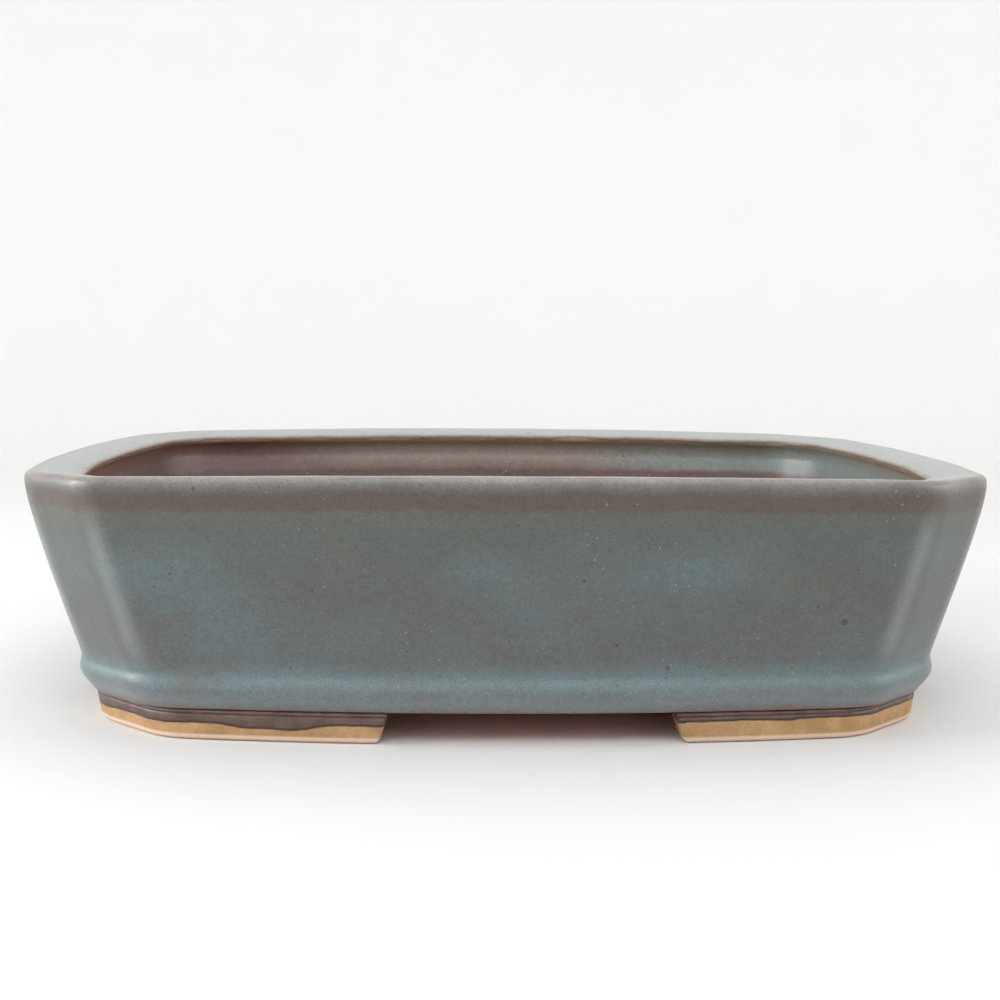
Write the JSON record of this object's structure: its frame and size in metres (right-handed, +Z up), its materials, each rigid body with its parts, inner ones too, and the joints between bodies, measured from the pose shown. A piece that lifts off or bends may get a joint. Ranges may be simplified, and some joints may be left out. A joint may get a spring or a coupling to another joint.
{
  "type": "bonsai pot",
  "caption": "Low rectangular stoneware bonsai pot with cut corners, leaning walls, an inward lip, a belt moulding and four angled feet.",
  "frame": {"origin": "middle of the footprint, at the height of the surface that the feet stand on", "axes": "+X along the pot's length, +Y from its front to its rear, +Z up"},
  "size_m": [0.2484, 0.1822, 0.0663],
  "materials": {
    "blue_grey_glaze": "satin blue-grey stoneware glaze, brown where it is thin",
    "foot_clay": "bare buff clay below a thin purple-brown glaze",
    "bare_clay": "matt unglazed stoneware"
  },
  "bodies": {
    "root": {"floor_slab": "bare_clay", "wall_front": "blue_grey_glaze", "wall_right": "blue_grey_glaze", "wall_rear": "blue_grey_glaze", "wall_left": "blue_grey_glaze", "wall_corner_front_right": "blue_grey_glaze", "wall_corner_rear_right": "blue_grey_glaze", "wall_corner_rear_left": "blue_grey_glaze", "wall_corner_front_left": "blue_grey_glaze", "lip_front": "blue_grey_glaze", "lip_right": "blue_grey_glaze", "lip_rear": "blue_grey_glaze", "lip_left": "blue_grey_glaze", "lip_corner_front_right": "blue_grey_glaze", "lip_corner_rear_right": "blue_grey_glaze", "lip_corner_rear_left": "blue_grey_glaze", "lip_corner_front_left": "blue_grey_glaze", "belt_front": "blue_grey_glaze", "belt_right": "blue_grey_glaze", "belt_rear": "blue_grey_glaze", "belt_left": "blue_grey_glaze", "belt_corner_front_right": "blue_grey_glaze", "belt_corner_rear_right": "blue_grey_glaze", "belt_corner_rear_left": "blue_grey_glaze", "belt_corner_front_left": "blue_grey_glaze", "foot_front_right": "foot_clay", "foot_rear_right": "foot_clay", "foot_rear_left": "foot_clay", "foot_front_left": "foot_clay"}
  },
  "joints": []
}
